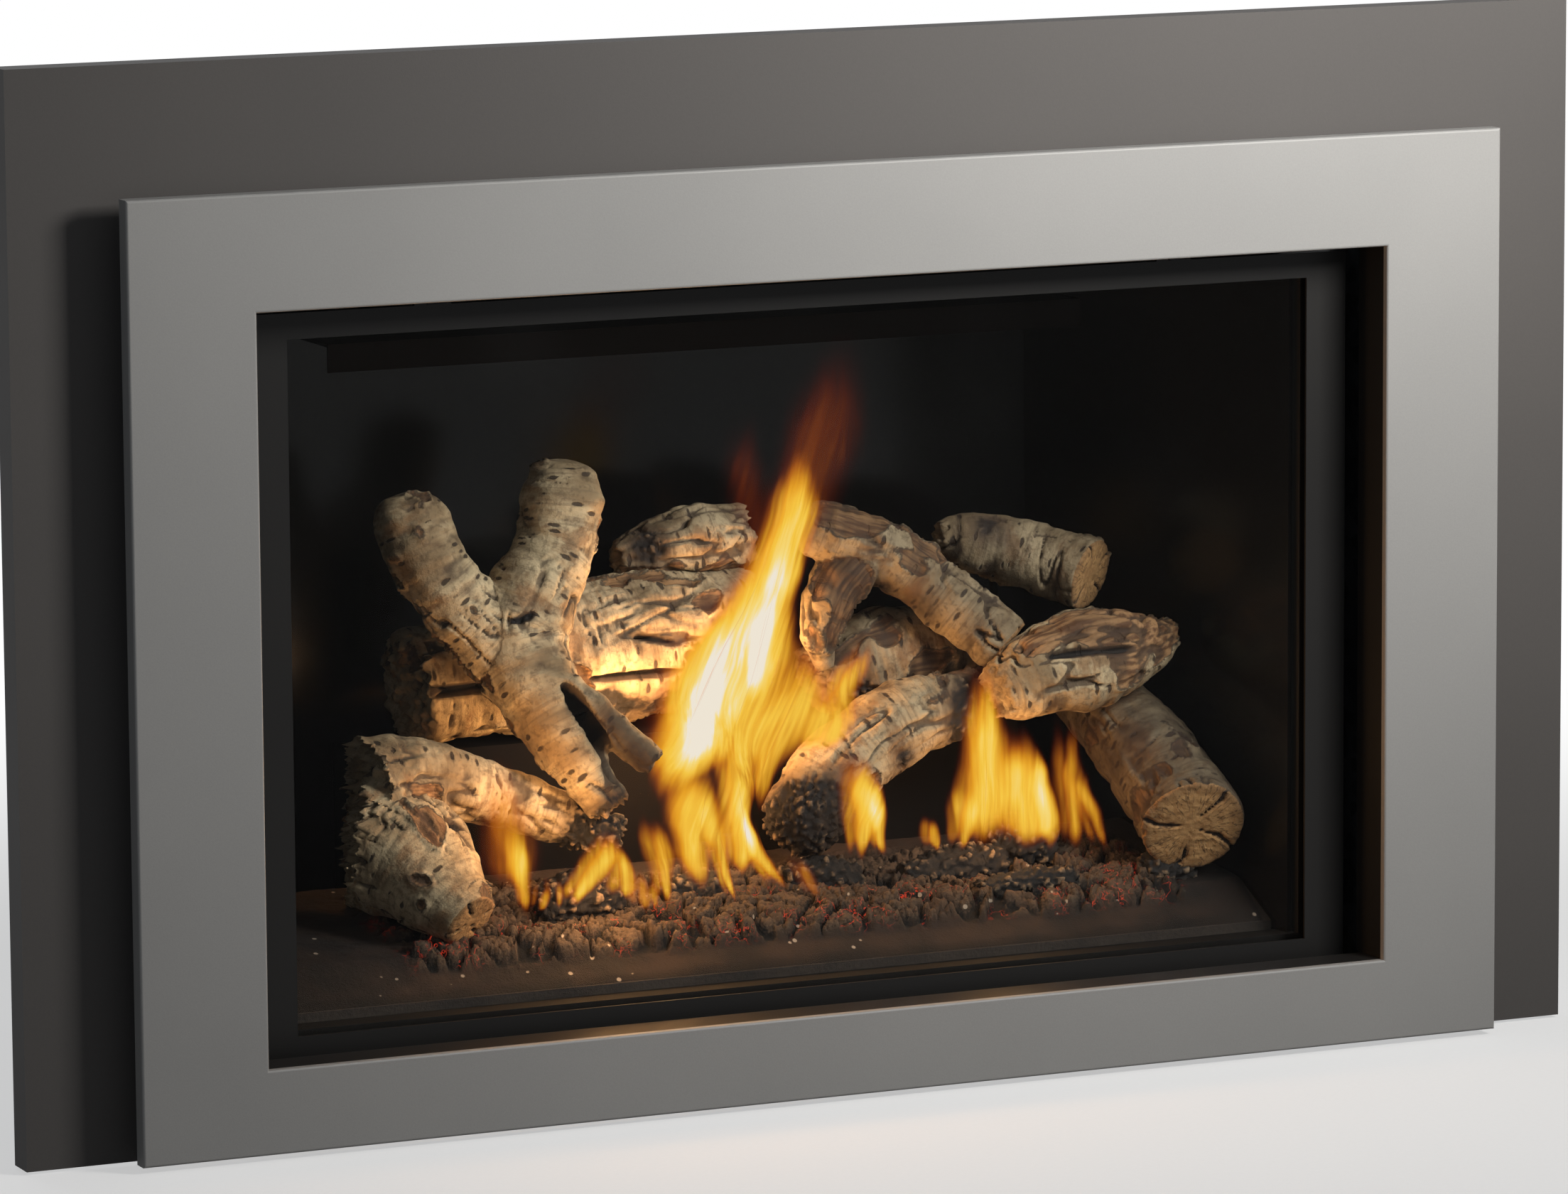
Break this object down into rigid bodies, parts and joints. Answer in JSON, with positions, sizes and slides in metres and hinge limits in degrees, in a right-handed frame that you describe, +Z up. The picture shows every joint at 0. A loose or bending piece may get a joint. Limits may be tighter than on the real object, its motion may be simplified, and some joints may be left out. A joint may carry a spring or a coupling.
{
  "type": "fireplace insert",
  "caption": "Gas fireplace insert with a flat picture-frame face, a plain surround panel, a tilting glass door and a birch-look log set over an ember bed.",
  "frame": {"origin": "centre of the outer box, on the hearth", "axes": "+X to the right as the viewer faces the fire, +Y back into the wall, +Z up"},
  "size_m": [1.055, 0.4, 0.667],
  "materials": {
    "face_coat": "satin, fine-grained pewter powder coat",
    "surround_coat": "satin charcoal powder coat",
    "black_trim": "satin black",
    "casing_steel": "galvanised, matt",
    "firebox_steel": "matt black high-temperature paint",
    "liner_enamel": "gloss black enamel, mirror-like",
    "collar_steel": "bright steel",
    "zinc_steel": "zinc plated",
    "latch_steel": "satin steel",
    "gasket_fibre": "woven glass fibre, matt",
    "door_glass": "clear ceramic glass",
    "burner_steel": "heat-stained stainless steel",
    "pilot_ceramic": "white insulator",
    "pipe_aluminium": "plain mill finish",
    "fitting_brass": "machined",
    "black_plastic": "moulded, matt",
    "motor_paint": "gloss black",
    "bed_ceramic": "moulded fibre, dark brown, matt",
    "birch_ceramic": "cast and hand-coloured as birch bark, matt",
    "char_ceramic": "charred, matt"
  },
  "bodies": {
    "casing": {"surround_panel": "surround_coat", "casing_left": "casing_steel", "casing_right": "casing_steel", "casing_base": "casing_steel", "casing_top": "casing_steel", "casing_back": "casing_steel", "firebox": "firebox_steel", "baffle_plate": "firebox_steel", "rear_ledge": "firebox_steel", "valve_panel": "firebox_steel", "fan_panel": "firebox_steel", "liner_left": "liner_enamel", "liner_right": "liner_enamel", "liner_back": "liner_enamel", "exhaust_collar": "collar_steel", "intake_collar": "collar_steel", "firebox_supports": "zinc_steel", "door_hinge_brackets": "zinc_steel", "latch_brackets": "zinc_steel", "blower_housing": "zinc_steel", "burner_tube": "burner_steel", "pilot_bracket": "burner_steel", "pilot_electrodes": "pilot_ceramic", "manifold_pipe": "pipe_aluminium", "gas_valve": "pipe_aluminium", "gas_inlet": "fitting_brass", "speed_box": "black_plastic", "power_inlet": "black_plastic", "blower_motor": "motor_paint", "burner_base": "bed_ceramic", "left_front_log": "birch_ceramic", "left_fork_log": "birch_ceramic", "rear_log": "birch_ceramic", "rear_top_log": "birch_ceramic", "arch_log": "birch_ceramic", "center_rear_log": "birch_ceramic", "center_front_log": "birch_ceramic", "right_mid_log": "birch_ceramic", "rear_right_log": "birch_ceramic", "right_front_log": "birch_ceramic", "charcoal": "char_ceramic"},
    "face": {"face_frame": "face_coat", "face_collar": "black_trim"},
    "glass_door": {"door_frame": "black_trim", "door_gaskets": "gasket_fibre", "glass_pane": "door_glass", "glass_clips": "zinc_steel"},
    "latch_lever_left": {"latch_left": "latch_steel"},
    "latch_lever_right": {"latch_right": "latch_steel"},
    "valve_knob_body": {"valve_knob": "black_plastic"},
    "flame_knob_body": {"flame_knob": "black_plastic"},
    "speed_dial_body": {"speed_dial": "black_plastic"},
    "piezo_button_body": {"piezo_button": "black_plastic"},
    "rocker_body": {"rocker": "black_plastic"},
    "air_shutter_body": {"air_shutter": "burner_steel"},
    "blower_wheel_body": {"blower_wheel": "pipe_aluminium"},
    "foot_front_left_body": {"foot_front_left": "zinc_steel"},
    "foot_front_right_body": {"foot_front_right": "zinc_steel"},
    "foot_rear_left_body": {"foot_rear_left": "zinc_steel"},
    "foot_rear_right_body": {"foot_rear_right": "zinc_steel"}
  },
  "joints": [
    {"name": "face_lift", "type": "slide", "parent": "casing", "child": "face", "axis": [0, 0, 1], "range_m": [0, 0.012]},
    {"name": "door_tilt", "type": "hinge", "parent": "casing", "child": "glass_door", "pos_m": [0, -0.153, 0.04], "axis": [1, 0, 0], "range_deg": [0, 10]},
    {"name": "latch_left_lift", "type": "hinge", "parent": "casing", "child": "latch_lever_left", "pos_m": [-0.252, -0.12, 0.526], "axis": [-1, 0, 0], "range_deg": [0, 72]},
    {"name": "latch_right_lift", "type": "hinge", "parent": "casing", "child": "latch_lever_right", "pos_m": [0.252, -0.12, 0.526], "axis": [-1, 0, 0], "range_deg": [0, 72]},
    {"name": "valve_knob_turn", "type": "hinge", "parent": "casing", "child": "valve_knob_body", "pos_m": [0.225, -0.09, 0.038], "axis": [0, 1, 0], "range_deg": [0, 180]},
    {"name": "flame_knob_turn", "type": "hinge", "parent": "casing", "child": "flame_knob_body", "pos_m": [0.265, -0.09, 0.038], "axis": [0, 1, 0], "range_deg": [0, 180]},
    {"name": "speed_dial_turn", "type": "hinge", "parent": "casing", "child": "speed_dial_body", "pos_m": [-0.3, -0.09, 0.038], "axis": [0, 1, 0], "range_deg": [0, 270]},
    {"name": "piezo_push", "type": "slide", "parent": "casing", "child": "piezo_button_body", "axis": [0, 1, 0], "range_m": [0, 0.006], "stiffness_N_per_m": 300},
    {"name": "rocker_tip", "type": "hinge", "parent": "casing", "child": "rocker_body", "pos_m": [-0.25, -0.108, 0.038], "axis": [-1, 0, 0], "range_deg": [0, 16]},
    {"name": "air_shutter_turn", "type": "hinge", "parent": "casing", "child": "air_shutter_body", "pos_m": [0.103, -0.01, 0.038], "axis": [-1, 0, 0], "range_deg": [0, 50]},
    {"name": "blower_spin", "type": "hinge", "parent": "casing", "child": "blower_wheel_body", "pos_m": [0, 0.122, 0.038], "axis": [1, 0, 0], "continuous": true},
    {"name": "foot_front_left_turn", "type": "hinge", "parent": "casing", "child": "foot_front_left_body", "pos_m": [-0.345, -0.1, 0.01], "axis": [0, 0, 1], "continuous": true},
    {"name": "foot_front_right_turn", "type": "hinge", "parent": "casing", "child": "foot_front_right_body", "pos_m": [0.345, -0.1, 0.01], "axis": [0, 0, 1], "continuous": true},
    {"name": "foot_rear_left_turn", "type": "hinge", "parent": "casing", "child": "foot_rear_left_body", "pos_m": [-0.28, 0.16, 0.01], "axis": [0, 0, 1], "continuous": true},
    {"name": "foot_rear_right_turn", "type": "hinge", "parent": "casing", "child": "foot_rear_right_body", "pos_m": [0.28, 0.16, 0.01], "axis": [0, 0, 1], "continuous": true}
  ],
  "couplings": [
    {"joint": "latch_left_lift", "follows": "door_tilt", "ratio": 7},
    {"joint": "latch_right_lift", "follows": "door_tilt", "ratio": 7}
  ]
}
